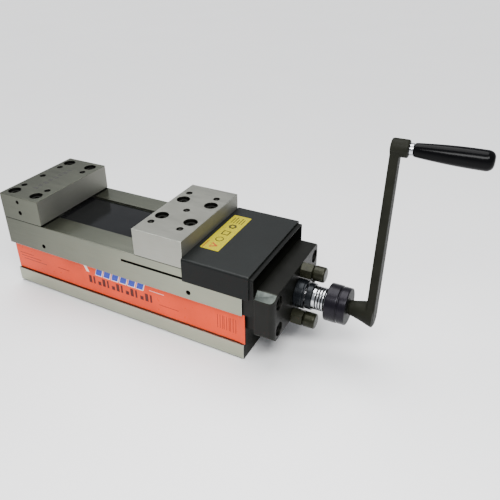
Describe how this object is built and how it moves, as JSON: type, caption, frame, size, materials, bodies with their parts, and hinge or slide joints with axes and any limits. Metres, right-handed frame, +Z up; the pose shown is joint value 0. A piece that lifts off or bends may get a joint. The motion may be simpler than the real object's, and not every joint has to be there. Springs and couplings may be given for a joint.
{
  "type": "machine vise",
  "caption": "Machine vise that clamps a workpiece between a fixed and a sliding jaw, driven by a boosted spindle with a crank handle.",
  "frame": {"origin": "on the underside of the base, on its centre line, straight below the fixed jaw's clamping face", "axes": "+X along the spindle from the fixed jaw towards the crank, +Y across the jaws towards the far side, +Z up"},
  "size_m": [0.681, 0.168, 0.314],
  "materials": {
    "ground_steel": "surface ground",
    "ground_iron": "ground, light greenish grey",
    "cast_iron": "machined",
    "black_oxide": "blackened, satin",
    "black_paint": "powder coat, blue-black satin",
    "crank_black": "matt olive-black forging",
    "chrome": "polished",
    "bearing_steel": "ground",
    "bronze": "machined",
    "polished_plate": "dark, polished, oiled",
    "orange_band": "thin film with light creases",
    "yellow_label": "printed film",
    "grip_plastic": "polished moulding"
  },
  "bodies": {
    "base": {"base_casting": "ground_iron", "fixed_jaw": "ground_steel", "fixed_jaw_screw_1": "black_oxide", "fixed_jaw_screw_2": "black_oxide", "fixed_jaw_screw_3": "black_oxide", "fixed_jaw_screw_4": "black_oxide", "rear_bracket": "black_oxide", "bracket_screw_1": "black_oxide", "bracket_screw_2": "black_oxide", "bracket_screw_3": "black_oxide", "bracket_screw_4": "black_oxide", "stud_upper": "black_oxide", "stud_lower": "black_oxide", "stud_nut_upper": "black_oxide", "stud_nut_lower": "black_oxide", "bearing_collar": "black_oxide", "thrust_race_rear": "bearing_steel", "thrust_cage": "bearing_steel", "side_band_near": "orange_band", "side_band_far": "orange_band"},
    "slide": {"movable_jaw": "ground_steel", "movable_jaw_screw_1": "black_oxide", "movable_jaw_screw_2": "black_oxide", "movable_jaw_screw_3": "black_oxide", "movable_jaw_screw_4": "black_oxide", "jaw_slide": "cast_iron", "spindle_nut": "bronze", "way_cover_plate": "polished_plate", "chip_cover": "black_paint", "cover_label": "yellow_label", "cover_screw_1": "black_oxide", "cover_screw_2": "black_oxide"},
    "spindle": {"spindle_screw": "bearing_steel", "thrust_race_front": "bearing_steel", "force_sleeve": "chrome"},
    "booster_ring": {"detent_ring": "black_oxide"},
    "drive": {"drive_hub": "black_oxide", "booster_rod": "bearing_steel"},
    "crank": {"crank_arm": "crank_black", "handle_pin": "chrome"},
    "grip": {"handle_grip": "grip_plastic"}
  },
  "joints": [
    {"name": "spindle_turn", "type": "hinge", "parent": "base", "child": "spindle", "pos_m": [0.44, 0, 0.081], "axis": [1, 0, 0], "range_deg": [-10773, 243]},
    {"name": "jaw_travel", "type": "slide", "parent": "base", "child": "slide", "axis": [1, 0, 0], "range_m": [-0.1795, 0.004]},
    {"name": "booster_turn", "type": "hinge", "parent": "spindle", "child": "booster_ring", "pos_m": [0.44, 0, 0.081], "axis": [1, 0, 0], "range_deg": [-1800, 0]},
    {"name": "booster_stroke", "type": "slide", "parent": "booster_ring", "child": "drive", "axis": [1, 0, 0], "range_m": [-0.01001, 0]},
    {"name": "crank_pull", "type": "slide", "parent": "drive", "child": "crank", "axis": [1, 0, 0], "range_m": [0, 0.03]},
    {"name": "grip_spin", "type": "hinge", "parent": "crank", "child": "grip", "pos_m": [0.5175, 0.0221, 0.3024], "axis": [1, 0, 0], "continuous": true}
  ],
  "couplings": [
    {"joint": "spindle_turn", "follows": "jaw_travel", "rad_per_m": 1047.2},
    {"joint": "booster_stroke", "follows": "booster_turn", "m_per_rad": 0.00031831}
  ]
}
